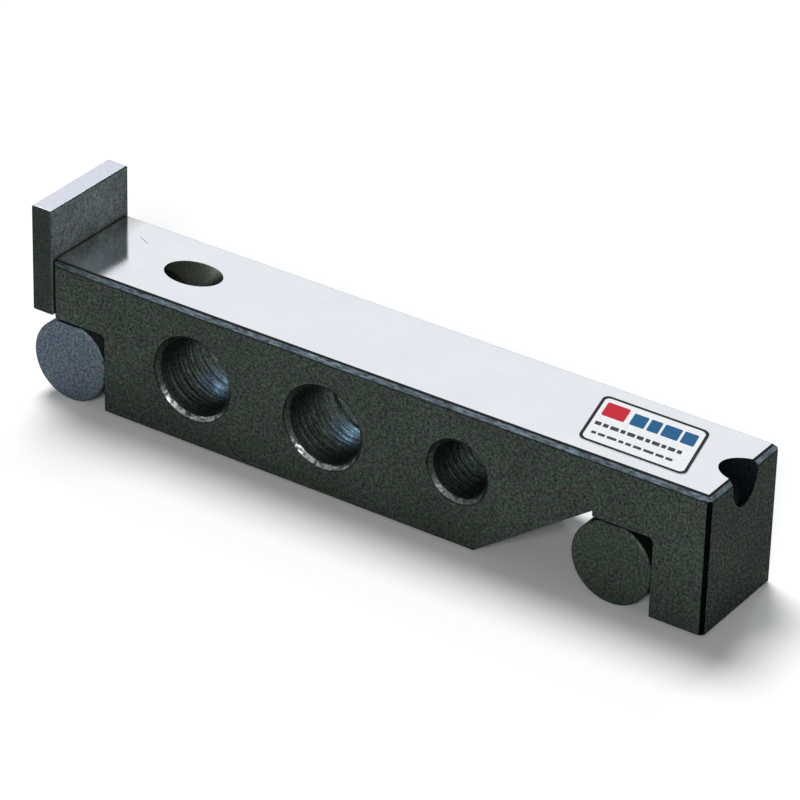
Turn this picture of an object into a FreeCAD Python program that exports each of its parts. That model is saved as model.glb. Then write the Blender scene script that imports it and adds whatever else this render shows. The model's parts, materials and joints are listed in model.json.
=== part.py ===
import FreeCAD, Part
import math
import os

# Sine bar: a ground steel beam on two rollers, with a stop plate at one end.
# X runs along the bar from the stop plate to the far foot, Y across it, Z up.
# The origin is the middle of the outline seen from above, on the plane that
# the rollers stand on. All lengths are in millimetres, angles in degrees.

# Beam
rollerSpacing = 127.0
barWidth = 25.0
barHeight = 29.8
farFootLength = 11.7
topChamfer = 1.1
cornerChamfer = 0.8
plateEndChamfer = 0.3

# Roller seats, measured from the datum face and from the beam's plate end
seatDepth = 12.7
firstSeatLength = 12.8
secondSeatLength = 13.3
seatCornerRadius = 1.0
seatStep = 1.1
slopeAngle = 35.2

# Side bores, with depths measured down from the datum face
largeBoreDiameter = 16.5
largeBoreDepth = 15.3
smallBoreDiameter = 12.0
smallBoreDepth = 14.0
boreChamfer = 1.0
firstBoreSetback = 21.5
lastBoreSetback = 4.2

# Rollers
rollerDiameter = 17.6
rollerInset = 0.1
rollerChamfer = 0.35

# Screws that hold the rollers, driven at 45 degrees through the seat corners
rollerScrewDiameter = 5.0
rollerScrewLength = 20.0
rollerScrewHeadDiameter = 8.5
rollerScrewHeadHeight = 5.0
rollerScrewHeadChamfer = 0.5
rollerScrewSocketSize = 4.0
rollerScrewSocketDepth = 2.5
rollerScrewWeb = 5.5
rollerScrewAngle = 45.0

# Stop plate
plateThickness = 5.0
plateRise = 10.8
plateOverlap = 12.5
plateChamfer = 0.3

# Screws that hold the stop plate
plateScrewDiameter = 4.0
plateScrewLength = 12.0
plateScrewHeadDiameter = 8.0
plateScrewRecess = 0.2
plateScrewSocketSize = 2.5
plateScrewSocketDepth = 1.5
plateScrewSpacing = 13.0
plateScrewDepth = 6.2

# Fits: gaps on the radius, and how far a tapped hole runs past its screw
boltHoleGap = 0.25
headGap = 0.25
threadGap = 0.03
coneGap = 0.02
tapRunout = 2.5
drillPointAngle = 118.0

# Places that follow from the sizes above
rollerRadius = rollerDiameter / 2
barLength = firstSeatLength + rollerSpacing + farFootLength
barStart = (plateThickness - barLength) / 2
barEnd = barStart + barLength
datumZ = seatDepth + rollerDiameter
barBottomZ = datumZ - barHeight
ceilingZ = datumZ - seatDepth
rollerZ = ceilingZ - rollerRadius
wallX = [barStart + firstSeatLength + step * rollerSpacing for step in range(2)]
rollerX = [x - rollerRadius for x in wallX]
landX = wallX[1] - secondSeatLength
slopeTopZ = ceilingZ + seatStep
slopeFootX = landX - (slopeTopZ - barBottomZ) / math.tan(math.radians(slopeAngle))
halfWidth = barWidth / 2
overshoot = barHeight

# Along a roller screw, distances count outwards from the roller's centre line
screwAxis = FreeCAD.Vector(math.cos(math.radians(rollerScrewAngle)), 0,
                           math.sin(math.radians(rollerScrewAngle)))
shoulderReach = rollerRadius * math.sqrt(2) + rollerScrewWeb
tipReach = shoulderReach - rollerScrewLength


def roundedFace(corners):
    # Each corner is a point and the radius that rounds it, zero for a sharp one
    tangents = []
    arcs = []
    count = len(corners)
    for index, (point, radius) in enumerate(corners):
        before = (corners[index - 1][0] - point).normalize()
        after = (corners[(index + 1) % count][0] - point).normalize()
        if radius == 0:
            tangents.append((point, point))
            continue
        halfAngle = before.getAngle(after) / 2
        reach = radius / math.tan(halfAngle)
        inward = (before + after).normalize()
        middle = point + inward * (radius / math.sin(halfAngle) - radius)
        start = point + before * reach
        end = point + after * reach
        tangents.append((start, end))
        arcs.append(Part.Arc(start, middle, end).toShape())
    edges = list(arcs)
    for index in range(count):
        lineStart = tangents[index - 1][1]
        lineEnd = tangents[index][0]
        edges.append(Part.makeLine(lineStart, lineEnd))
    return Part.Face(Part.Wire(Part.__sortEdges__(edges)))


def sharpFace(points):
    return Part.Face(Part.makePolygon(points + points[:1]))


def turned(profile, centre, axis):
    # Revolves a profile of (distance along the axis, radius) pairs about the axis
    side = FreeCAD.Vector(0, 1, 0) if abs(axis.y) < 0.5 else FreeCAD.Vector(0, 0, 1)
    points = [centre + axis * along + side * radius for along, radius in profile]
    return sharpFace(points).revolve(centre, axis, 360)


def drilledHole(mouth, direction, radius, depth):
    # A blind hole with the cone that a drill leaves at its end
    hole = Part.makeCylinder(radius, depth, mouth, direction)
    pointLength = radius / math.tan(math.radians(drillPointAngle / 2))
    point = Part.makeCone(radius, 0, pointLength, mouth + direction * depth, direction)
    return hole.fuse(point)


def hexSocket(opening, direction, acrossFlats, depth):
    # A hexagonal recess from its opening inwards along the direction
    radius = acrossFlats / math.sqrt(3)
    turn = FreeCAD.Rotation(FreeCAD.Vector(0, 0, 1), direction)
    points = []
    for corner in range(6):
        angle = math.radians(60 * corner)
        flat = FreeCAD.Vector(radius * math.cos(angle), radius * math.sin(angle), 0)
        points.append(opening + turn.multVec(flat))
    return sharpFace(points).extrude(direction * depth)


def makeBlank():
    # Front outline: two roller seats, the slope before the second, the far foot
    def point(x, z):
        return FreeCAD.Vector(x, -halfWidth, z)

    outline = [
        (point(barStart, datumZ - plateEndChamfer), 0),
        (point(barStart + plateEndChamfer, datumZ), 0),
        (point(barEnd - topChamfer, datumZ), 0),
        (point(barEnd, datumZ - topChamfer), 0),
        (point(barEnd, barBottomZ), 0),
        (point(wallX[1], barBottomZ), 0),
        (point(wallX[1], ceilingZ), seatCornerRadius),
        (point(landX, ceilingZ), 0),
        (point(landX, slopeTopZ), 0),
        (point(slopeFootX, barBottomZ), 0),
        (point(wallX[0], barBottomZ), 0),
        (point(wallX[0], ceilingZ), seatCornerRadius),
        (point(barStart, ceilingZ), 0),
    ]
    front = roundedFace(outline).extrude(FreeCAD.Vector(0, barWidth, 0))

    # Cross section: both long top edges are chamfered
    section = []
    for y, z in [(-halfWidth, barBottomZ), (-halfWidth, datumZ - topChamfer),
                 (-halfWidth + topChamfer, datumZ), (halfWidth - topChamfer, datumZ),
                 (halfWidth, datumZ - topChamfer), (halfWidth, barBottomZ)]:
        section.append(FreeCAD.Vector(barStart, y, z))
    beam = sharpFace(section).extrude(FreeCAD.Vector(barLength, 0, 0))

    # Plan: the four upright corners are chamfered
    plan = []
    for xEnd, xInward, yCorner, yInward in [
            (barStart, 1, -halfWidth, 1), (barStart, 1, halfWidth, -1),
            (barEnd, -1, halfWidth, -1), (barEnd, -1, -halfWidth, 1)]:
        onEnd = FreeCAD.Vector(xEnd, yCorner + yInward * cornerChamfer, barBottomZ)
        onSide = FreeCAD.Vector(xEnd + xInward * cornerChamfer, yCorner, barBottomZ)
        goesAlongEnd = xInward * yInward < 0
        plan += [onEnd, onSide] if goesAlongEnd else [onSide, onEnd]
    upright = sharpFace(plan).extrude(FreeCAD.Vector(0, 0, barHeight))
    return front.common(beam).common(upright)


def boreCutter(x, depthBelowDatum, diameter):
    # A straight bore across the beam, chamfered at both mouths
    radius = diameter / 2
    mouth = radius + boreChamfer
    profile = [
        (-halfWidth - overshoot, 0),
        (-halfWidth - overshoot, mouth),
        (-halfWidth, mouth),
        (-halfWidth + boreChamfer, radius),
        (halfWidth - boreChamfer, radius),
        (halfWidth, mouth),
        (halfWidth + overshoot, mouth),
        (halfWidth + overshoot, 0),
    ]
    centre = FreeCAD.Vector(x, 0, datumZ - depthBelowDatum)
    return turned(profile, centre, FreeCAD.Vector(0, 1, 0))


def boreCutters():
    firstX = wallX[0] + firstBoreSetback
    lastX = slopeFootX - lastBoreSetback
    middleX = (firstX + lastX) / 2
    return [
        boreCutter(firstX, largeBoreDepth, largeBoreDiameter),
        boreCutter(middleX, largeBoreDepth, largeBoreDiameter),
        boreCutter(lastX, smallBoreDepth, smallBoreDiameter),
    ]


def rollerScrewCutter(centre):
    # Head recess from the outside down to the shoulder, then the bolt hole
    recess = Part.makeCylinder(rollerScrewHeadDiameter / 2 + headGap, overshoot,
                               centre + screwAxis * shoulderReach, screwAxis)
    boltHole = Part.makeCylinder(rollerScrewDiameter / 2 + boltHoleGap,
                                 shoulderReach - rollerRadius,
                                 centre + screwAxis * rollerRadius, screwAxis)
    return recess.fuse(boltHole)


def plateScrewPlaces():
    # Where each stop plate screw's axis meets the plate's outer face
    places = []
    for side in (-1, 1):
        places.append(FreeCAD.Vector(barStart - plateThickness, side * plateScrewSpacing / 2,
                                     datumZ - plateScrewDepth))
    return places


def makeBody():
    body = makeBlank()
    for cutter in boreCutters():
        body = body.cut(cutter)
    for x in rollerX:
        body = body.cut(rollerScrewCutter(FreeCAD.Vector(x, 0, rollerZ)))
    along = FreeCAD.Vector(1, 0, 0)
    tapDepth = plateScrewRecess + plateScrewLength - plateThickness + tapRunout
    for place in plateScrewPlaces():
        mouth = place + along * plateThickness
        body = body.cut(drilledHole(mouth, along, plateScrewDiameter / 2 + threadGap, tapDepth))
    return body


def makeRoller(x):
    halfLength = halfWidth - rollerInset
    faceRadius = rollerRadius - rollerChamfer
    profile = [
        (-halfLength, 0),
        (-halfLength, faceRadius),
        (-halfLength + rollerChamfer, rollerRadius),
        (halfLength - rollerChamfer, rollerRadius),
        (halfLength, faceRadius),
        (halfLength, 0),
    ]
    centre = FreeCAD.Vector(x, 0, rollerZ)
    roller = turned(profile, centre, FreeCAD.Vector(0, 1, 0))
    tap = drilledHole(centre + screwAxis * rollerDiameter, screwAxis * -1,
                      rollerScrewDiameter / 2 + threadGap,
                      rollerDiameter - tipReach + tapRunout)
    return roller.cut(tap)


def makeRollerScrew(x):
    # Socket-head cap screw, its head seated on the shoulder in the beam
    shankRadius = rollerScrewDiameter / 2
    headRadius = rollerScrewHeadDiameter / 2
    headTop = shoulderReach + rollerScrewHeadHeight
    profile = [
        (tipReach, 0),
        (tipReach, shankRadius),
        (shoulderReach, shankRadius),
        (shoulderReach, headRadius),
        (headTop - rollerScrewHeadChamfer, headRadius),
        (headTop, headRadius - rollerScrewHeadChamfer),
        (headTop, 0),
    ]
    centre = FreeCAD.Vector(x, 0, rollerZ)
    screw = turned(profile, centre, screwAxis)
    socket = hexSocket(centre + screwAxis * headTop, screwAxis * -1,
                       rollerScrewSocketSize, rollerScrewSocketDepth)
    return screw.cut(socket)


def makeStopPlate():
    blank = Part.makeBox(plateThickness, barWidth, plateRise + plateOverlap,
                         FreeCAD.Vector(barStart - plateThickness, -halfWidth, datumZ - plateOverlap))
    plate = blank.makeChamfer(plateChamfer, blank.Edges)
    headRadius = plateScrewHeadDiameter / 2 + plateScrewRecess + coneGap
    holeRadius = plateScrewDiameter / 2 + boltHoleGap
    coneDepth = headRadius - holeRadius
    profile = [
        (-overshoot, 0),
        (-overshoot, headRadius),
        (0, headRadius),
        (coneDepth, holeRadius),
        (overshoot, holeRadius),
        (overshoot, 0),
    ]
    for place in plateScrewPlaces():
        plate = plate.cut(turned(profile, place, FreeCAD.Vector(1, 0, 0)))
    return plate


def makePlateScrew(place):
    # Countersunk screw with a 90 degree head, just below the plate's outer face
    along = FreeCAD.Vector(1, 0, 0)
    headRadius = plateScrewHeadDiameter / 2
    shankRadius = plateScrewDiameter / 2
    headHeight = headRadius - shankRadius
    headTop = place + along * plateScrewRecess
    profile = [
        (0, 0),
        (0, headRadius),
        (headHeight, shankRadius),
        (plateScrewLength, shankRadius),
        (plateScrewLength, 0),
    ]
    screw = turned(profile, headTop, along)
    return screw.cut(hexSocket(headTop, along, plateScrewSocketSize, plateScrewSocketDepth))


nodes = {
    "body": makeBody(),
    "left_roller": makeRoller(rollerX[0]),
    "right_roller": makeRoller(rollerX[1]),
    "roller_screws": Part.makeCompound([makeRollerScrew(x) for x in rollerX]),
    "stop_plate": makeStopPlate(),
    "stop_plate_screws": Part.makeCompound([makePlateScrew(place) for place in plateScrewPlaces()]),
}

os.makedirs("parts", exist_ok=True)
for name, shape in nodes.items():
    shape.exportStep("parts/" + name + ".step")
    print(name, "solids", len(shape.Solids), "volume", round(shape.Volume, 2), "valid", shape.isValid())
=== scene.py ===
import json
import math
import random

import bmesh
import bpy
from mathutils import Matrix, Vector


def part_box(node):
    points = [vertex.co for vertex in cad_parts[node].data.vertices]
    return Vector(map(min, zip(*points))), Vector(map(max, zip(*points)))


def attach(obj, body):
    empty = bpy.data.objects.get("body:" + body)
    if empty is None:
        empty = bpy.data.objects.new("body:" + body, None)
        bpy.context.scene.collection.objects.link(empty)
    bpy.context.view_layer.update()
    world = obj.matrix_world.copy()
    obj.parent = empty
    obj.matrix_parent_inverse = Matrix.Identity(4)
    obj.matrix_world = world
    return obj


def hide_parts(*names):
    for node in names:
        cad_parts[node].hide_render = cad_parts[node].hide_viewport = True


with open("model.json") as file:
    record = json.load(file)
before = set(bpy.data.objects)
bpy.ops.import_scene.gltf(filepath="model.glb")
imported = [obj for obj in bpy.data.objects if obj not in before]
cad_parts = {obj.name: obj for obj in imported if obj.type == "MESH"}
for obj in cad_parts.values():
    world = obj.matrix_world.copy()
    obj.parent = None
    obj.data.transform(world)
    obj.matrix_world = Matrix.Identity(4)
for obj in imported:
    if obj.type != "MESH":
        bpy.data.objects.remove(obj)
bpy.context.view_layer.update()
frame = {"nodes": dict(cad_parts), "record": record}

# Sine bar: a dark ground beam on two rollers, with a bright datum face, a stop
# plate at one end and a leaning label at the other. Metres, +X along the bar
# from the stop plate, +Y away from the viewer, +Z up, the floor at zero.

mm = 0.001
bores = [mount for mount in frame["record"]["mounts"] if mount["kind"] == "bore"]
beamLow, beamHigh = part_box("body")
datumZ = beamHigh.z
rollerMiddles = {name: sum(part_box(name), Vector()) / 2 for name in ("left_roller", "right_roller")}
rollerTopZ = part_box("left_roller")[1].z
noiseLow, noiseHigh = 0.3, 0.7     # nearly all of a noise pattern lies between these
print("frame loaded:", len(frame["nodes"]), "nodes")


# Small helpers for nodes, whose owner is a material or the world

def plug(owner, value, socket):
    if isinstance(value, bpy.types.NodeSocket):
        owner.node_tree.links.new(value, socket)
    else:
        socket.default_value = value


def addNode(owner, kind, settings=None, inputs=None):
    # Inputs may be a plain value or the output socket of another node
    node = owner.node_tree.nodes.new(kind)
    for key, value in (settings or {}).items():
        setattr(node, key, value)
    for key, value in (inputs or {}).items():
        plug(owner, value, node.inputs[key])
    return node


def calc(owner, operation, first, second=0.0):
    node = addNode(owner, "ShaderNodeMath", {"operation": operation}, {0: first, 1: second})
    return node.outputs[0]


def product(owner, first, *others):
    for share in others:
        first = calc(owner, "MULTIPLY", first, share)
    return first


def remap(owner, value, low, high, newLow=0.0, newHigh=1.0):
    node = addNode(owner, "ShaderNodeMapRange", {"clamp": True},
                   {"Value": value, "From Min": low, "From Max": high,
                    "To Min": newLow, "To Max": newHigh})
    return node.outputs["Result"]


def between(owner, pattern, low, high):
    # A noise pattern spread out to run from low to high
    return remap(owner, pattern, noiseLow, noiseHigh, low, high)


def seenDirectly(owner):
    # 1 for what the camera, a mirror or glass sees, 0 for light that falls on things
    paths = addNode(owner, "ShaderNodeLightPath").outputs
    seen = calc(owner, "MAXIMUM", paths["Is Camera Ray"], paths["Is Glossy Ray"])
    return calc(owner, "MAXIMUM", seen, paths["Is Transmission Ray"])


def newMaterial(name):
    material = bpy.data.materials.new(name)
    material.use_nodes = True
    material.node_tree.nodes.clear()
    shader = addNode(material, "ShaderNodeBsdfPrincipled")
    addNode(material, "ShaderNodeOutputMaterial", None, {"Surface": shader.outputs["BSDF"]})
    return material, shader


def mixColours(material, share, first, second, blend="MIX"):
    node = addNode(material, "ShaderNodeMix", {"data_type": "RGBA", "blend_type": blend})
    plug(material, share, node.inputs["Factor"])
    for value, socket in ((first, node.inputs[6]), (second, node.inputs[7])):
        if isinstance(value, tuple):
            value = (*value, 1.0)
        plug(material, value, socket)
    return node.outputs[2]


def dimmed(material, colour, share):
    # The colour times a share that changes from place to place
    grey = addNode(material, "ShaderNodeCombineXYZ", None, {0: share, 1: share, 2: share})
    return mixColours(material, 1.0, colour, grey.outputs[0], "MULTIPLY")


def texturePart(material, source, axis):
    whole = addNode(material, "ShaderNodeTexCoord").outputs[source]
    return addNode(material, "ShaderNodeSeparateXYZ", None, {0: whole}).outputs[axis]


def place(material, axis):
    return texturePart(material, "Object", axis)


def facing(material, axis):
    # 1 where the surface looks along the axis, 0 where it is square to it
    return texturePart(material, "Normal", axis)


def fromPlate(material):
    return calc(material, "SUBTRACT", place(material, "X"), beamLow.x)


def fromMiddle(material):
    return calc(material, "ABSOLUTE", place(material, "Y"))


def below(material, level):
    return calc(material, "SUBTRACT", level, place(material, "Z"))


def noise(material, size, detail=3.0, roughness=0.6, stretch=(1.0, 1.0, 1.0), offset=0.0,
          output="Fac"):
    # Blobs of about that size in metres, longer where stretch is above 1
    where = addNode(material, "ShaderNodeTexCoord").outputs["Object"]
    mapping = addNode(material, "ShaderNodeMapping", None,
                      {"Vector": where, "Location": (offset, offset, offset),
                       "Scale": tuple(1.0 / (size * part) for part in stretch)})
    node = addNode(material, "ShaderNodeTexNoise", None,
                   {"Vector": mapping.outputs[0], "Scale": 1.0, "Detail": detail,
                    "Roughness": roughness})
    return node.outputs[output]


def tinted(material, colour, size, spread):
    # The colour with small casts of red, green and blue
    casts = noise(material, size, detail=2.0, offset=12.6, output="Color")
    low, high = 1.0 - spread, 1.0 + spread
    share = addNode(material, "ShaderNodeVectorMath", {"operation": "MULTIPLY_ADD"},
                    {0: casts, 1: (high - low,) * 3, 2: (low,) * 3})
    return mixColours(material, 1.0, colour, share.outputs[0], "MULTIPLY")


def bumpFrom(material, height, depth, strength=0.6, normal=None):
    inputs = {"Height": height, "Strength": strength, "Distance": depth}
    if normal is not None:
        inputs["Normal"] = normal
    return addNode(material, "ShaderNodeBump", None, inputs).outputs["Normal"]


def edgeMask(material, radius, flatTurn=0.985, edgeTurn=0.86):
    # 0 on flat stretches and 1 on the edges, from how far a rounded normal turns away
    rounded = addNode(material, "ShaderNodeBevel", {"samples": 6}, {"Radius": radius})
    plain = addNode(material, "ShaderNodeNewGeometry").outputs["Normal"]
    turn = addNode(material, "ShaderNodeVectorMath", {"operation": "DOT_PRODUCT"},
                   {0: rounded.outputs[0], 1: plain}).outputs["Value"]
    return remap(material, turn, flatTurn, edgeTurn)


def finishShader(material, shader, look, tone, rough, normal):
    shader.inputs["Metallic"].default_value = look["metal"]
    shader.inputs["Specular IOR Level"].default_value = look["gloss"]
    shader.inputs["Specular Tint"].default_value = (*[look["grazing"]] * 3, 1.0)
    plug(material, tone, shader.inputs["Base Color"])
    plug(material, rough, shader.inputs["Roughness"])
    plug(material, normal, shader.inputs["Normal"])
    return material


# Finishes of the beam. A range holds two levels of a pattern, a distance or a
# facing, and often the two shares between which the finish runs from one to the other.

darkFinish = {
    "colour": (0.009, 0.015, 0.011),
    "lighter": (0.084, 0.102, 0.088),
    "speckSize": 0.54 * mm,
    "speckRange": (0.33, 0.67),
    "castSize": 0.702 * mm,
    "casts": 0.60,
    "cloudSize": 14 * mm,
    "cloudShares": (0.90, 1.08),
    "edgeColour": (0.10, 0.115, 0.115),
    "edgeRadius": 0.20 * mm,
    "scuffSize": 1.6 * mm,
    "scuffRange": (0.38, 0.62, 0.2, 0.9),
    "metal": 0.72,
    "gloss": 0.15,           # of the part that isn't metal
    "grazing": 0.15,         # how bright the metal gets at a flat angle
    "roughness": (0.48, 0.64),
    "grainSize": 0.486 * mm,
    "grainDepth": 0.012 * mm,
}
sideFinish = {
    **darkFinish,
    "darkLine": (1.08 * mm, 1.34 * mm, 0.15, 1.0),
}
# Painted shade: the upright corner chamfer is near black and mirrors nothing
cornerShadeFinish = {
    **darkFinish,
    "colour": (0.001, 0.002, 0.002),
    "lighter": (0.002, 0.004, 0.004),
    "edgeColour": (0.004, 0.006, 0.006),
    "gloss": 0.0,
    "grazing": 0.0,
}
recessFinish = {
    **darkFinish,
    "colour": (0.300, 0.340, 0.290),
    "lighter": (0.760, 0.820, 0.720),
    "casts": 0.2,
    "metal": 0.95,
    "roughness": (0.32, 0.46),
    # painted shade on the walls that face up
    "upFacingShade": (0.36, 0.58, 1.0, 0.18),
}
# Painted shade: near black for the end notch, the roller seats and the far roller's screw recess
notchShadeFinish = {
    **darkFinish,
    "colour": (0.006, 0.009, 0.013),
    "lighter": (0.026, 0.034, 0.042),
    "edgeColour": (0.03, 0.034, 0.036),
}


def speckledTone(material, look):
    # Coloured speckle under slow clouds, with the speckle on its own for the gloss
    speckle = noise(material, look["speckSize"], detail=4.0, roughness=0.72)
    clouds = noise(material, look["cloudSize"], detail=2.0, roughness=0.5, offset=3.1)
    speck = remap(material, speckle, *look["speckRange"])
    tone = mixColours(material, speck, look["colour"], look["lighter"])
    tone = tinted(material, tone, look["castSize"], look["casts"])
    return dimmed(material, tone, between(material, clouds, *look["cloudShares"])), speckle


def wornEdges(material, look, tone):
    scuffs = noise(material, look["scuffSize"], offset=7.7)
    worn = product(material, edgeMask(material, look["edgeRadius"]),
                   remap(material, scuffs, *look["scuffRange"]))
    return mixColours(material, worn, tone, look["edgeColour"])


def makeDarkFinish(name, look):
    # Blackened ground steel with a little wear on the edges
    material, shader = newMaterial(name)
    tone, speckle = speckledTone(material, look)
    if "upFacingShade" in look:
        # Painted shade: the walls that face up, where the top light falls, are darker
        tone = dimmed(material, tone, remap(material, facing(material, "Z"), *look["upFacingShade"]))
    tone = wornEdges(material, look, tone)
    if "darkLine" in look:
        # A thin band just under the chamfer is darker
        down = below(material, datumZ)
        tone = dimmed(material, tone, remap(material, down, *look["darkLine"]))
    low, high = look["roughness"]
    rough = between(material, speckle, high, low)
    grain = noise(material, look["grainSize"], detail=4.0, roughness=0.7, offset=1.3)
    normal = bumpFrom(material, grain, look["grainDepth"])
    return finishShader(material, shader, look, tone, rough, normal)


datumFinish = {
    "colour": (0.80, 0.825, 0.87),
    "duller": (0.74, 0.77, 0.82),
    "cloudSize": 11 * mm,
    # Painted reflection of the stop plate: the face darkens close to it
    "plateMirrorTone": (0.44, 0.44, 0.38),
    "plateMirrorReach": (0.0, 6.0 * mm, 1.0, 0.0),
    "scratch": {
        "colour": (0.16, 0.20, 0.30),
        "start": (-65.6 * mm, 6.0 * mm),
        "end": (-62.1 * mm, 4.4 * mm),
        "width": 0.16 * mm,
        "fadeFrom": 0.6,     # share of the way from the middle to an end
    },
    "metal": 1.0,
    "gloss": 0.5,
    "grazing": 1.0,
    "roughness": (0.08, 0.13),
    "roughRange": (0.35, 0.65),
    "lineSize": 0.14 * mm,
    "lineStretch": (160.0, 1.0, 1.0),
    "lineDepth": 0.009 * mm,
}


def scratchMask(material, look):
    # 1 along a short line from one point of the face to another
    start, end = Vector(look["start"]), Vector(look["end"])
    along = (end - start).normalized()
    half = (end - start).length / 2
    fromX = calc(material, "SUBTRACT", place(material, "X"), start.x)
    fromY = calc(material, "SUBTRACT", place(material, "Y"), start.y)
    forward = calc(material, "ADD", product(material, fromX, along.x),
                   product(material, fromY, along.y))
    aside = calc(material, "SUBTRACT", product(material, fromX, along.y),
                 product(material, fromY, along.x))
    farness = calc(material, "ABSOLUTE", calc(material, "SUBTRACT", forward, half))
    inside = remap(material, farness, half, look["fadeFrom"] * half)
    thin = remap(material, calc(material, "ABSOLUTE", aside), look["width"], 0.0)
    return product(material, inside, thin)


def makeDatumFinish(name, look):
    # Surface ground face: close to a mirror, with fine lines along the bar
    material, shader = newMaterial(name)
    lines = noise(material, look["lineSize"], stretch=look["lineStretch"])
    clouds = noise(material, look["cloudSize"], roughness=0.55, offset=5.2)
    tone = mixColours(material, between(material, clouds, 0.0, 1.0), look["duller"], look["colour"])
    # Painted reflection: darker and browner close to the stop plate, as its mirror image
    nearPlateMirror = remap(material, fromPlate(material), *look["plateMirrorReach"])
    tone = mixColours(material, nearPlateMirror, tone, look["plateMirrorTone"])
    scratch = scratchMask(material, look["scratch"])
    tone = mixColours(material, scratch, tone, look["scratch"]["colour"])
    low, high = look["roughness"]
    rough = remap(material, clouds, *look["roughRange"], high, low)
    normal = bumpFrom(material, lines, look["lineDepth"], strength=0.5)
    return finishShader(material, shader, look, tone, rough, normal)


chamferFinish = {
    "colour": (0.150, 0.195, 0.230),
    "duller": (0.034, 0.048, 0.058),
    "outline": (0.014, 0.015, 0.013),
    "topLine": (0.242 * mm, 0.374 * mm),     # where the upper dark line gives way
    "lowLine": (1.045 * mm, 0.913 * mm),     # and the lower one, both down from the datum face
    "streakSize": 0.32 * mm,
    "streakStretch": (5.0, 1.0, 1.0),
    "streakRange": (0.34, 0.62),
    "streakDepth": 0.012 * mm,
    "patchSize": 2.2 * mm,
    "patchStretch": (2.0, 1.0, 1.0),
    "patchRange": (0.3, 0.68, 0.5, 1.4),
    "darkerNearPlate": (0.0, 14 * mm, 0.35, 1.0),
    "metal": 0.85,
    "gloss": 0.5,
    "grazing": 0.4,
    "roughness": (0.28, 0.42),
}


def makeChamferFinish(name, look):
    # Bare streaky chamfer between two dark lines
    material, shader = newMaterial(name)
    down = below(material, datumZ)
    bare = product(material, remap(material, down, *look["topLine"]),
                   remap(material, down, *look["lowLine"]))
    streaks = noise(material, look["streakSize"], stretch=look["streakStretch"], offset=2.4)
    patches = noise(material, look["patchSize"], stretch=look["patchStretch"], offset=9.2)
    streaky = remap(material, streaks, *look["streakRange"])
    tone = mixColours(material, streaky, look["duller"], look["colour"])
    tone = dimmed(material, tone, remap(material, patches, *look["patchRange"]))
    # Darker close to the stop plate
    tone = dimmed(material, tone, remap(material, fromPlate(material), *look["darkerNearPlate"]))
    tone = mixColours(material, bare, look["outline"], tone)
    rough = between(material, streaks, *look["roughness"])
    normal = bumpFrom(material, streaks, look["streakDepth"], strength=0.5)
    return finishShader(material, shader, look, tone, rough, normal)


boreFinish = {
    "colour": (0.152, 0.176, 0.164),
    "darker": (0.044, 0.058, 0.049),
    "bandSize": 0.32 * mm,
    "bandStretch": (9.0, 1.0, 9.0),
    "bandRange": (0.34, 0.66),
    "bandDepth": 0.030 * mm,
    "stainSize": 1.1 * mm,
    "stainRange": (0.22, 0.66),
    # painted highlight on the bore's bottom
    "boreHighlightTint": (0.128, 0.205, 0.300),
    "boreHighlightFacing": (0.62, 0.90),
    "boreHighlightReach": (4.6 * mm, 2.4 * mm),
    "boreHighlightBands": (0.38, 0.60, 0.0, 0.9),
    "calmRange": (4 * mm, 18 * mm, 1.0, 0.15),
    "speckSize": 0.46 * mm,
    "speckRange": (0.35, 0.65, 0.45, 1.50),
    "speckDepth": 0.040 * mm,
    "castSize": 0.46 * mm,
    "casts": 0.8,
    "metal": 1.0,
    "gloss": 0.5,
    "grazing": 0.2,
    "roughness": (0.36, 0.52),
}


def calm(material, look):
    # Fewer bare patches and less painted highlight toward the far end, round the smallest bore
    return remap(material, place(material, "X"), *look["calmRange"])


def stained(material, look):
    stains = noise(material, look["stainSize"], detail=4.0, roughness=0.65, offset=4.4)
    return remap(material, stains, *look["stainRange"])


def boreHighlightMask(material, look, bands):
    # 1 in the middle of the bore's bottom, where the back light's highlight falls: a painted
    # highlight
    return product(material, remap(material, facing(material, "Z"), *look["boreHighlightFacing"]),
                   remap(material, fromMiddle(material), *look["boreHighlightReach"]),
                   remap(material, bands, *look["boreHighlightBands"]), calm(material, look))


def makeBoreFinish(name, look):
    # Bored steel: bare metal in the tool's path, oil and dirt in between
    material, shader = newMaterial(name)
    bands = noise(material, look["bandSize"], detail=4.0, roughness=0.7,
                  stretch=look["bandStretch"])
    clean = product(material, remap(material, bands, *look["bandRange"]), stained(material, look))
    tone = mixColours(material, clean, look["darker"], look["colour"])
    # Painted highlight: brighter, bluer metal strengthens the back light's reflection on the bore's
    # bottom
    tone = mixColours(material, boreHighlightMask(material, look, bands), tone, look["boreHighlightTint"])
    speckle = noise(material, look["speckSize"], detail=4.0, roughness=0.72)
    tone = dimmed(material, tone, remap(material, speckle, *look["speckRange"]))
    tone = tinted(material, tone, look["castSize"], look["casts"])
    low, high = look["roughness"]
    rough = between(material, bands, high, low)
    grain = bumpFrom(material, speckle, look["speckDepth"])
    normal = bumpFrom(material, bands, look["bandDepth"], normal=grain)
    return finishShader(material, shader, look, tone, rough, normal)


mouthFinish = {
    **darkFinish,
    "bare": (0.330, 0.350, 0.365),
    "bareHighlightFacing": (0.32, 0.50),
    "bareFrom": (11.60 * mm, 11.80 * mm),    # away from the middle, as the rim is
    "bareRoughness": 0.28,
    "stainSize": 0.9 * mm,
    "stainRange": (0.40, 0.56),
    "wanderSize": 3.0 * mm,
    "wanderReach": 0.4 * mm,
    "rim": (12.38 * mm, 12.18 * mm),
    "rimShare": 0.25,
    "paintedShadeFacing": (-0.6, 0.3, 0.5, 0.92),
    "calmRange": (4 * mm, 18 * mm, 1.0, 0.35),
}


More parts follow.
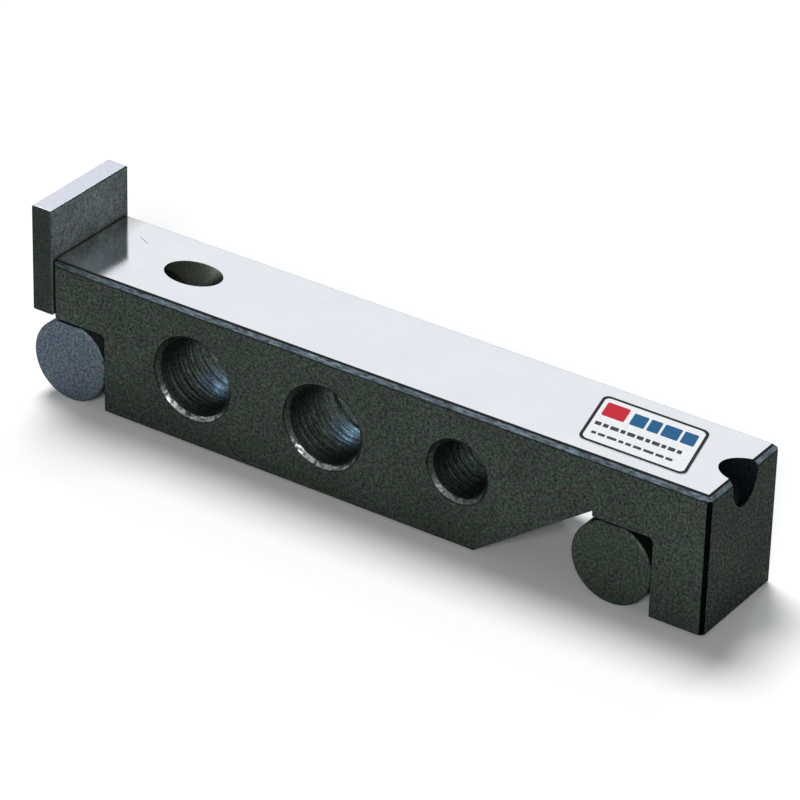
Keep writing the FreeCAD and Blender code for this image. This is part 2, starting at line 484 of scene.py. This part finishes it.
def makeMouthFinish(name, look):
    # As dark as the sides, with bare patches where the bore's mouth faces up; kept to that side,
    # they are partly a painted highlight
    material, shader = newMaterial(name)
    tone, speckle = speckledTone(material, look)
    lookingUp = facing(material, "Z")
    aside = fromMiddle(material)
    inside = remap(material, aside, *look["rim"])
    # The bare band's inner edge wanders with slow noise
    reach = look["wanderReach"]
    wander = between(material, noise(material, look["wanderSize"]), -reach, reach)
    ragged = calc(material, "ADD", aside, wander)
    # Bare stained patches, kept to the upward side where the front light's highlight falls: partly
    # painted highlight
    bare = product(material, remap(material, lookingUp, *look["bareHighlightFacing"]),
                   stained(material, look), inside,
                   remap(material, ragged, *look["bareFrom"]), calm(material, look))
    tone = dimmed(material, tone, remap(material, inside, 0.0, 1.0, look["rimShare"], 1.0))
    # Painted shade where the mouth faces down
    tone = dimmed(material, tone, remap(material, lookingUp, *look["paintedShadeFacing"]))
    tone = mixColours(material, bare, tone, look["bare"])
    rough = remap(material, bare, 0.0, 1.0, look["roughness"][0], look["bareRoughness"])
    normal = bumpFrom(material, speckle, look["grainDepth"])
    return finishShader(material, shader, look, tone, rough, normal)


print("finishes described")


# Beam, with real tool marks turned into its three side bores

beamLook = {
    "weld": 0.0005 * mm,
    "flatWithin": 0.4,               # degrees
    "roundFrom": 28,
    "edgeRound": 0.10 * mm,
    "awayFromBores": 1.3 * mm,
    "smoothUnder": 35,
    "boreSegments": 160,
    "boreChamfer": 1.0 * mm,
    "mouthRound": 0.10 * mm,
    "toolOverrun": 2 * mm,
    "wallCut": 0.01 * mm,            # the tool takes a little off the wall all the way
    "rings": {
        "start": 0.7,                # pitches from the chamfer to the first ring
        "depthShares": (0.7, 1.2),
        "pitchShares": (0.82, 1.18),
        "weakShare": 0.5,            # of its depth is left of every second ring
        "floorShare": 0.36,          # of a ring's width is its flat bottom
        "side_bore_near_stop": {"pitch": 1.10 * mm, "depth": 0.055 * mm, "wide": 0.26, "deep": []},
        "side_bore_middle": {
            "pitch": 0.84 * mm, "depth": 0.030 * mm, "wide": 0.24,
            "deep": [{"at": 9.0 * mm, "wide": 0.42 * mm, "depth": 0.28 * mm},
                     {"at": 15.6 * mm, "wide": 0.50 * mm, "depth": 0.34 * mm}],
        },
        "side_bore_small": {"pitch": 0.84 * mm, "depth": 0.030 * mm, "wide": 0.24, "deep": []},
    },
    "facets": {                      # which facet of the beam gets which finish
        "square": 0.99,              # a facet square to an axis faces it by more than this
        "datumBand": 0.1 * mm,
        "chamferBand": 1.2 * mm,
        "chamferFacing": 0.4,
        "cornerFacing": 0.35,
        "cornerLean": 0.2,
        "boreReach": 1.2 * mm,
        "sideSkin": 0.02 * mm,
        "recessInset": 3 * mm,
        "recessRadius": 4.6 * mm,
        "seatZ": (1.0 * mm, 17.7 * mm),
    },
}


def weldedMesh(nodeName, look):
    # The node's own shape with its flat faces put back together
    shape = bmesh.new()
    shape.from_mesh(frame["nodes"][nodeName].data)
    bmesh.ops.remove_doubles(shape, verts=shape.verts, dist=look["weld"])
    bmesh.ops.dissolve_limit(shape, angle_limit=math.radians(look["flatWithin"]),
                             use_dissolve_boundaries=False, verts=shape.verts,
                             edges=shape.edges, delimit={"NORMAL"})
    return shape


def nearBore(point, margin):
    for bore in bores:
        centre = Vector(bore["pos_m"])
        reach = math.hypot(point.x - centre.x, point.z - centre.z)
        if reach < bore["dims"]["r_mm"] * mm + margin:
            return True
    return False


def nearRecess(point, rollerName, radius):
    # Each roller's screw comes in at 45 degrees through the roller's middle
    along = Vector((1, 0, 1)).normalized()
    offset = point - rollerMiddles[rollerName]
    return (offset - along * offset.dot(along)).length < radius


def roundEdges(shape, look):
    # The mouths of the bores keep their edges here, because the bore tools round them
    chosen = []
    for edge in shape.edges:
        if len(edge.link_faces) != 2:
            continue
        if edge.calc_face_angle(0.0) < math.radians(look["roundFrom"]):
            continue
        middle = (edge.verts[0].co + edge.verts[1].co) / 2
        if nearBore(middle, look["awayFromBores"]):
            continue
        chosen.append(edge)
    bmesh.ops.bevel(shape, geom=chosen, offset=look["edgeRound"], offset_type="OFFSET",
                    segments=2, profile=0.5, affect="EDGES", clamp_overlap=True)


def toolMarks(bore, look):
    # (place, width, depth) of each ring: shallow ones at an uneven pitch, and the deep ones
    rings = look["rings"]
    own = rings[bore["name"]]
    chamfer = look["boreChamfer"]
    deep = [(beamLow.y + ring["at"], ring["wide"], ring["depth"]) for ring in own["deep"]]
    marks = list(deep)
    wide = own["pitch"] * own["wide"]
    dice = random.Random(bore["name"])
    strong = True
    y = beamLow.y + chamfer + own["pitch"] * rings["start"]
    while y < beamHigh.y - chamfer - own["pitch"] * rings["start"]:
        depth = own["depth"] * dice.uniform(*rings["depthShares"])
        if not strong:
            depth *= rings["weakShare"]
        if all(abs(y - at) > (wide + deepWide) / 2 for at, deepWide, _ in deep):
            marks.append((y, wide, depth))
        strong = not strong
        y += own["pitch"] * dice.uniform(*rings["pitchShares"])
    return sorted(marks)


def boreProfile(bore, look):
    # (distance across the bar, radius) pairs from one mouth to the other
    wall = bore["dims"]["r_mm"] * mm
    cut = wall + look["wallCut"]
    chamfer = look["boreChamfer"]
    rim = wall + chamfer
    soft = look["mouthRound"]
    mouth = [(-look["toolOverrun"], rim + soft), (0.0, rim + soft),
             (0.3 * soft, rim + 0.2 * soft), (soft, rim - 0.6 * soft),     # a round at the rim
             (chamfer - soft, wall + soft), (chamfer, wall + 0.3 * soft),  # and at the wall
             (chamfer + soft, cut)]
    profile = [(beamLow.y + inward, radius) for inward, radius in mouth]
    for y, wide, depth in toolMarks(bore, look):
        floor = wide * look["rings"]["floorShare"] / 2
        profile += [(y - wide / 2, cut), (y - floor, wall + depth),
                    (y + floor, wall + depth), (y + wide / 2, cut)]
    profile += [(beamHigh.y - inward, radius) for inward, radius in reversed(mouth)]
    return profile


def bridge(shape, first, second):
    # A closed strip of faces between two rings of corners
    for step in range(len(first)):
        following = (step + 1) % len(first)
        shape.faces.new((first[step], first[following], second[following], second[step]))


def latheTool(shape, centre, profile, segments):
    # A closed turned body about an axis along the bar's width
    rows = []
    for y, radius in profile:
        row = []
        for step in range(segments):
            angle = 2 * math.pi * step / segments
            row.append(shape.verts.new((centre.x + radius * math.cos(angle), y,
                                        centre.z + radius * math.sin(angle))))
        rows.append(row)
    for first, second in zip(rows, rows[1:]):
        bridge(shape, first, second)
    shape.faces.new(list(reversed(rows[0])))
    shape.faces.new(rows[-1])


def objectFrom(shape, name):
    mesh = bpy.data.meshes.new(name)
    bmesh.ops.recalc_face_normals(shape, faces=shape.faces)
    shape.to_mesh(mesh)
    shape.free()
    piece = bpy.data.objects.new(name, mesh)
    bpy.context.scene.collection.objects.link(piece)
    return piece


def subtract(piece, tool):
    cut = piece.modifiers.new("cut", "BOOLEAN")
    cut.operation = "DIFFERENCE"
    cut.solver = "EXACT"
    cut.object = tool
    bpy.context.view_layer.update()
    graph = bpy.context.evaluated_depsgraph_get()
    finished = bpy.data.meshes.new_from_object(piece.evaluated_get(graph))
    piece.modifiers.clear()
    piece.data = finished
    bpy.data.objects.remove(tool)


def keepFlatFaces(piece):
    weights = piece.modifiers.new("flat faces stay flat", "WEIGHTED_NORMAL")
    weights.keep_sharp = True


def beamFinishFor(face, look):
    normal = face.normal
    middle = face.center
    facets = look["facets"]
    square = facets["square"]
    if normal.z > square and middle.z > datumZ - facets["datumBand"]:
        return "datum"
    seatLow, seatHigh = facets["seatZ"]
    # Faces in the end notch and the roller seats get the painted shade
    if min(normal.x, normal.z) < -square and seatLow < middle.z < seatHigh:
        return "notch"
    fromSide = beamHigh.y - abs(middle.y)
    if nearBore(middle, facets["boreReach"]) and fromSide > facets["sideSkin"]:
        return "mouth" if fromSide < look["boreChamfer"] else "bore"
    slanted = max(abs(normal.x), abs(normal.z)) <= square
    if slanted and fromSide > facets["recessInset"]:
        if nearRecess(middle, "left_roller", facets["recessRadius"]):
            return "recess"
        # The far roller's screw recess gets the painted shade too
        if nearRecess(middle, "right_roller", facets["recessRadius"]):
            return "notch"
    nearTop = middle.z > datumZ - facets["chamferBand"]
    if nearTop and facets["chamferFacing"] < normal.z < square:
        return "chamfer"
    upright = abs(normal.z) < facets["cornerLean"]
    if upright and min(abs(normal.x), abs(normal.y)) > facets["cornerFacing"]:
        return "corner"
    return "side"


def makeBeam(look):
    shape = weldedMesh("body", look)
    roundEdges(shape, look)
    beam = objectFrom(shape, "beam")
    tools = bmesh.new()
    for bore in bores:
        latheTool(tools, Vector(bore["pos_m"]), boreProfile(bore, look), look["boreSegments"])
    subtract(beam, objectFrom(tools, "bore_tools"))
    finishes = {
        "side": makeDarkFinish("dark ground side", sideFinish),
        "datum": makeDatumFinish("bright datum face", datumFinish),
        "chamfer": makeChamferFinish("bare chamfer", chamferFinish),
        "bore": makeBoreFinish("bored wall", boreFinish),
        "mouth": makeMouthFinish("bore mouth", mouthFinish),
        "corner": makeDarkFinish("upright corner in painted shade", cornerShadeFinish),
        "recess": makeDarkFinish("bare screw recess", recessFinish),
        "notch": makeDarkFinish("end notch and roller seats in painted shade", notchShadeFinish),
    }
    for material in finishes.values():
        beam.data.materials.append(material)
    order = list(finishes)
    for face in beam.data.polygons:
        face.material_index = order.index(beamFinishFor(face, look))
    beam.data.shade_smooth()
    beam.data.set_sharp_from_angle(angle=math.radians(look["smoothUnder"]))
    keepFlatFaces(beam)
    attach(beam, "root")
    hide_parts("body")
    print("beam made:", len(beam.data.polygons), "faces")


makeBeam(beamLook)


# Rollers, with speckled ends and a barrel that is ground smooth

rollerFinish = {
    **darkFinish,
    "colour": (0.008, 0.016, 0.010),
    "lighter": (0.086, 0.108, 0.090),
    "edgeColour": (0.14, 0.16, 0.16),
    "barrel": (0.034, 0.039, 0.036),
    "barrelFacing": (0.5, 0.2),
    "barrelShares": (0.8, 1.15),
    "barrelGloss": 0.55,
    "lineSize": 0.16 * mm,
    "lineStretch": (40.0, 1.0, 40.0),
    "lineDepth": 0.003 * mm,
    "smudgeSize": 4.5 * mm,
    "seatShade": (0.30 * mm, 0.55 * mm, 0.12, 1.0),
}
# Painted light: the left roller is a lighter copy of the same roller finish
leftRollerLitFinish = {
    **rollerFinish,
    "colour": (0.027, 0.040, 0.058),
    "lighter": (0.173, 0.213, 0.259),
    "edgeColour": (0.20, 0.24, 0.27),
    "barrel": (0.098, 0.125, 0.112),
    "barrelGloss": 0.50,
    "seatShade": (0.44 * mm, 0.68 * mm, 0.03, 1.0),
}


def makeRollerFinish(name, look):
    material, shader = newMaterial(name)
    tone, speckle = speckledTone(material, look)
    endward = calc(material, "ABSOLUTE", facing(material, "Y"))
    onBarrel = remap(material, endward, *look["barrelFacing"])
    lines = noise(material, look["lineSize"], stretch=look["lineStretch"], offset=6.1)
    smudges = noise(material, look["smudgeSize"], offset=2.9)
    barrel = look["barrel"]
    for pattern in (lines, smudges):
        barrel = dimmed(material, barrel, between(material, pattern, *look["barrelShares"]))
    tone = wornEdges(material, look, mixColours(material, onBarrel, tone, barrel))
    # Painted shade along the top of the roller's end, where it meets the ceiling of its seat
    down = below(material, rollerTopZ)
    tone = dimmed(material, tone, remap(material, down, *look["seatShade"]))
    low, high = look["roughness"]
    rough = product(material, between(material, speckle, high, low),
                    remap(material, onBarrel, 0.0, 1.0, 1.0, look["barrelGloss"]))
    grain = bumpFrom(material, speckle, look["grainDepth"])
    normal = bumpFrom(material, lines, look["lineDepth"], strength=0.3, normal=grain)
    return finishShader(material, shader, look, tone, rough, normal)


# Stop plate

plateFinish = {
    "narrow": (0.028, 0.036, 0.031),
    "wide": (0.112, 0.130, 0.136),
    "wideFacing": (0.6, 0.9),
    "top": (0.61, 0.638, 0.72),
    "topFacing": (0.95, 0.99),
    "topGloss": 0.5,
    "speckSize": 0.50 * mm,
    "speckRange": (0.34, 0.66, 0.55, 1.45),
    "cloudSize": 6 * mm,
    "cloudShares": (0.85, 1.1),
    "castSize": 0.65 * mm,
    "casts": 0.5,
    "paintedShadeAcross": (3 * mm, 12 * mm, 1.10, 0.74),
    "metal": 0.85,
    "gloss": 0.25,
    "grazing": 0.25,
    "roughness": (0.42, 0.56),
    "grainDepth": 0.012 * mm,
}


def makePlateFinish(name, look):
    # The top edge is ground bright, the wide faces are grey and the narrow sides dark
    material, shader = newMaterial(name)
    lengthward = calc(material, "ABSOLUTE", facing(material, "X"))
    wide = remap(material, lengthward, *look["wideFacing"])
    bright = remap(material, facing(material, "Z"), *look["topFacing"])
    speckle = noise(material, look["speckSize"], roughness=0.65)
    clouds = noise(material, look["cloudSize"], detail=2.0, roughness=0.5, offset=8.8)
    tone = mixColours(material, wide, look["narrow"], look["wide"])
    # Painted light and shade: a little lighter in front, darker towards the back
    tone = dimmed(material, tone, remap(material, place(material, "Y"), *look["paintedShadeAcross"]))
    tone = dimmed(material, tone, remap(material, speckle, *look["speckRange"]))
    tone = dimmed(material, tone, between(material, clouds, *look["cloudShares"]))
    tone = tinted(material, tone, look["castSize"], look["casts"])
    tone = mixColours(material, bright, tone, look["top"])
    low, high = look["roughness"]
    rough = product(material, between(material, speckle, high, low),
                    remap(material, bright, 0.0, 1.0, 1.0, look["topGloss"]))
    normal = bumpFrom(material, speckle, look["grainDepth"], strength=0.5)
    return finishShader(material, shader, look, tone, rough, normal)


# Screws, and the softened edges of every solid that keeps its own shape

screwFinish = {
    **darkFinish,
    "colour": (0.006, 0.006, 0.007),
    "lighter": (0.026, 0.026, 0.028),
    "edgeColour": (0.05, 0.05, 0.05),
}

softLook = {
    "weld": 0.0005 * mm,
    "flatWithin": 0.5,               # degrees
    "roundFrom": 30,
    "edgeRound": 0.06 * mm,
    "screwRound": 0.05 * mm,
}


def dressNode(nodeName, material, edgeRound, look):
    node = frame["nodes"][nodeName]
    node.data.materials.clear()
    node.data.materials.append(material)
    weld = node.modifiers.new("weld", "WELD")
    weld.merge_threshold = look["weld"]
    flat = node.modifiers.new("join flat faces", "DECIMATE")
    flat.decimate_type = "DISSOLVE"
    flat.angle_limit = math.radians(look["flatWithin"])
    soft = node.modifiers.new("soft edges", "BEVEL")
    soft.limit_method = "ANGLE"
    soft.angle_limit = math.radians(look["roundFrom"])
    soft.width = edgeRound
    soft.segments = 2
    keepFlatFaces(node)


screwMaterial = makeDarkFinish("black oxide screw", screwFinish)
solidMaterials = {
    "left_roller": makeRollerFinish("left roller painted lighter", leftRollerLitFinish),
    "right_roller": makeRollerFinish("dark roller", rollerFinish),
    "stop_plate": makePlateFinish("stop plate steel", plateFinish),
}
for solidName, solidMaterial in solidMaterials.items():
    dressNode(solidName, solidMaterial, softLook["edgeRound"], softLook)
for screwName in ("roller_screws", "stop_plate_screws"):
    dressNode(screwName, screwMaterial, softLook["screwRound"], softLook)
print("rollers, plate and screws dressed")


# Label: a leaning film with a black border and plain fields of colour

labelLook = {
    "fromEnd": 21.9 * mm,
    "across": -0.15 * mm,
    "length": 23.5 * mm,
    "depth": 16.5 * mm,
    "corner": 1.6 * mm,
    "cornerShrink": 0.6,             # how much sharper an outline's corners get as it moves in
    "cornerSteps": 6,
    "lean": 14.2,
    "film": 0.10 * mm,
    "ink": 0.02 * mm,
    "borderInset": 0.05 * mm,
    "border": 0.68 * mm,
    "red": {"sides": (-10.1 * mm, -5.1 * mm), "rise": (1.4 * mm, 6.2 * mm), "corner": 0.5 * mm},
    "blue": {
        "start": -4.0 * mm,
        "widths": (3.2 * mm, 2.5 * mm, 3.7 * mm, 3.0 * mm),
        "gap": 0.55 * mm,
        "rise": (1.5 * mm, 5.6 * mm),
        "corner": 0.3 * mm,
    },
    "dashes": {
        "rows": ({"start": -10.2 * mm, "end": 9.8 * mm, "middle": -1.6 * mm, "tall": 1.20 * mm},
                 {"start": -9.8 * mm, "end": 8.6 * mm, "middle": -4.9 * mm, "tall": 0.85 * mm}),
        "widths": (0.9 * mm, 2.3 * mm),
        "gap": 0.45 * mm,
        "leastRoom": 0.8 * mm,
        "corner": 0.15 * mm,
        "seed": 7,
    },
    "inks": {
        "white film": {"colour": (0.86, 0.875, 0.90), "roughness": 0.30},
        "black print": {"colour": (0.008, 0.008, 0.010), "roughness": 0.35},
        "red print": {"colour": (0.56, 0.014, 0.032), "roughness": 0.35},
        "blue print": {"colour": (0.010, 0.104, 0.245), "roughness": 0.35},
        "grey print": {"colour": (0.045, 0.045, 0.052), "roughness": 0.40},
    },
    "blotchSize": 0.5 * mm,
    "blotchShares": (0.82, 1.0),
    "blotchRougher": 0.12,
    "blotchDepth": 0.003 * mm,
    "metal": 0.0,
    "gloss": 0.06,
    "grazing": 1.0,
}


def makeInk(name, look):
    ink = look["inks"][name]
    material, shader = newMaterial(f"label {name}")
    blotch = noise(material, look["blotchSize"])
    tone = dimmed(material, ink["colour"], between(material, blotch, *look["blotchShares"]))
    rough = between(material, blotch, ink["roughness"], ink["roughness"] + look["blotchRougher"])
    normal = bumpFrom(material, blotch, look["blotchDepth"], strength=0.2)
    return finishShader(material, shader, look, tone, rough, normal)


def roundedOutline(left, right, low, high, radius, steps):
    points = []
    for x, y, start in ((right, high, 0), (left, high, 90), (left, low, 180), (right, low, 270)):
        inX = x - radius if x == right else x + radius
        inY = y - radius if y == high else y + radius
        for step in range(steps + 1):
            angle = math.radians(start + 90 * step / steps)
            points.append((inX + radius * math.cos(angle), inY + radius * math.sin(angle)))
    return points


def labelOutline(inset, look):
    # The label's own outline, moved in by the inset
    right, high = look["length"] / 2 - inset, look["depth"] / 2 - inset
    return roundedOutline(-right, right, -high, high,
                          look["corner"] - inset * look["cornerShrink"], look["cornerSteps"])


def leaned(point, look):
    # The far side of the label stands nearer to the stop plate
    u, v = point
    slide = v * math.tan(math.radians(look["lean"]))
    return (beamHigh.x - look["fromEnd"] + u - slide, look["across"] + v)


def layer(name, outlines, low, high, material, look):
    # A thin sheet with straight walls; a second outline is a hole in the first
    shape = bmesh.new()
    lower, upper = [[[shape.verts.new((*leaned(point, look), z)) for point in outline]
                     for outline in outlines] for z in (low, high)]
    for lowerRing, upperRing in zip(lower, upper):
        bridge(shape, lowerRing, upperRing)
    if len(outlines) == 1:
        shape.faces.new(upper[0])
        shape.faces.new(list(reversed(lower[0])))
    else:
        for outer, inner in (lower, upper):
            bridge(shape, outer, inner)
    piece = objectFrom(shape, name)
    piece.data.materials.append(material)
    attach(piece, "root")


def printed(name, sides, rise, corner, ink, look):
    # One field of ink on top of the film
    outline = roundedOutline(*sides, *rise, corner, look["cornerSteps"])
    filmTop = datumZ + look["film"]
    layer(name, [outline], filmTop, filmTop + look["ink"], ink, look)


def printBlocks(ink, look):
    blocks = look["blue"]
    x = blocks["start"]
    for index, width in enumerate(blocks["widths"]):
        printed(f"label_blue_block_{index}", (x, x + width), blocks["rise"], blocks["corner"],
                ink, look)
        x += width + blocks["gap"]


def printDashes(ink, look):
    dashes = look["dashes"]
    dice = random.Random(dashes["seed"])
    for row, line in enumerate(dashes["rows"]):
        rise = (line["middle"] - line["tall"] / 2, line["middle"] + line["tall"] / 2)
        x = line["start"]
        index = 0
        while x < line["end"] - dashes["leastRoom"]:
            width = min(dice.uniform(*dashes["widths"]), line["end"] - x)
            printed(f"label_dash_{row}_{index}", (x, x + width), rise, dashes["corner"], ink, look)
            x += width + dashes["gap"]
            index += 1


def makeLabel(look):
    inks = {name: makeInk(name, look) for name in look["inks"]}
    filmTop = datumZ + look["film"]
    layer("label_film", [labelOutline(0.0, look)], datumZ, filmTop, inks["white film"], look)
    outside = labelOutline(look["borderInset"], look)
    inside = labelOutline(look["borderInset"] + look["border"], look)
    layer("label_border", [outside, inside], filmTop, filmTop + look["ink"],
          inks["black print"], look)
    red = look["red"]
    printed("label_red_field", red["sides"], red["rise"], red["corner"], inks["red print"], look)
    printBlocks(inks["blue print"], look)
    printDashes(inks["grey print"], look)
    print("label laid on the datum face")


makeLabel(labelLook)


# Floor, light and camera

studio = {
    "floorSize": 6.0,
    "floorColour": (0.985, 0.985, 0.985),
    "bounceColour": (0.80, 0.80, 0.80),
    "floorRoughness": 0.9,
    "worldColour": (1.0, 1.0, 1.0, 1.0),
    "ambient": 0.12,
    "lamps": {
        "top light": {"azimuth": 233, "elevation": 59.1, "spread": 28, "power": 2.65,
                      "colour": (1.0, 1.0, 1.0)},
        "back light": {"azimuth": 195, "elevation": 43, "spread": 10, "power": 0.37,
                       "colour": (0.80, 0.90, 1.0)},
        "front light": {"azimuth": 26, "elevation": 31, "spread": 15, "power": 1.02,
                        "colour": (1.0, 1.0, 1.0)},
    },
}


def makeFloor(look):
    half = look["floorSize"] / 2
    shape = bmesh.new()
    corners = [shape.verts.new((x, y, 0.0)) for x, y in
               ((-half, -half), (half, -half), (half, half), (-half, half))]
    shape.faces.new(corners)
    floor = objectFrom(shape, "floor")
    material, shader = newMaterial("pale floor")
    tone = mixColours(material, seenDirectly(material), look["bounceColour"], look["floorColour"])
    plug(material, tone, shader.inputs["Base Color"])
    shader.inputs["Roughness"].default_value = look["floorRoughness"]
    shader.inputs["Specular IOR Level"].default_value = 0.0
    floor.data.materials.append(material)


def makeWorld(look):
    # White to the camera and in reflections, a softer level as light
    world = bpy.data.worlds.new("studio")
    bpy.context.scene.world = world
    world.use_nodes = True
    world.node_tree.nodes.clear()
    level = remap(world, seenDirectly(world), 0.0, 1.0, look["ambient"], 1.0)
    light = addNode(world, "ShaderNodeBackground", None,
                    {"Color": look["worldColour"], "Strength": level})
    addNode(world, "ShaderNodeOutputWorld", None, {"Surface": light.outputs[0]})


def direction(azimuth, elevation):
    # Azimuth counts from the viewer's side round to the bar's far end
    turn, rise = math.radians(azimuth), math.radians(elevation)
    return Vector((math.sin(turn) * math.cos(rise), -math.cos(turn) * math.cos(rise),
                   math.sin(rise)))


def addLamp(name, look):
    # A far lamp with soft edges, so that the floor is lit evenly out to its rim
    lamp = bpy.data.lights.new(name, "SUN")
    lamp.energy = look["power"]
    lamp.angle = math.radians(look["spread"])
    lamp.color = look["colour"]
    holder = bpy.data.objects.new(name, lamp)
    bpy.context.scene.collection.objects.link(holder)
    toward = direction(look["azimuth"], look["elevation"])
    holder.location = toward
    holder.rotation_euler = toward.to_track_quat("Z", "Y").to_euler()


cameraLook = {
    "azimuth": 33.517,
    "elevation": 30.215,
    "roll": 1.551,
    "distance": 878.64 * mm,
    "target": (9.924 * mm, -12.5 * mm, 27.453 * mm),
    "lens": 209.37,
    "sensor": 36.0,
}


def makeCamera(look):
    back = direction(look["azimuth"], look["elevation"])
    levelRight = Vector((0, 0, 1)).cross(back).normalized()
    levelUp = back.cross(levelRight)
    roll = math.radians(look["roll"])
    screenRight = levelRight * math.cos(roll) + levelUp * math.sin(roll)
    screenUp = levelUp * math.cos(roll) - levelRight * math.sin(roll)
    camera = bpy.data.objects.new("camera", bpy.data.cameras.new("camera"))
    bpy.context.scene.collection.objects.link(camera)
    camera.data.lens = look["lens"]
    camera.data.sensor_width = look["sensor"]
    turn = Matrix((screenRight, screenUp, back)).transposed().to_4x4()
    stand = Vector(look["target"]) + back * look["distance"]
    camera.matrix_world = Matrix.Translation(stand) @ turn
    bpy.context.scene.camera = camera


makeFloor(studio)
makeWorld(studio)
for lampName, lampLook in studio["lamps"].items():
    addLamp(lampName, lampLook)
makeCamera(cameraLook)
bpy.context.scene.view_settings.view_transform = "Standard"
print("studio and camera set")
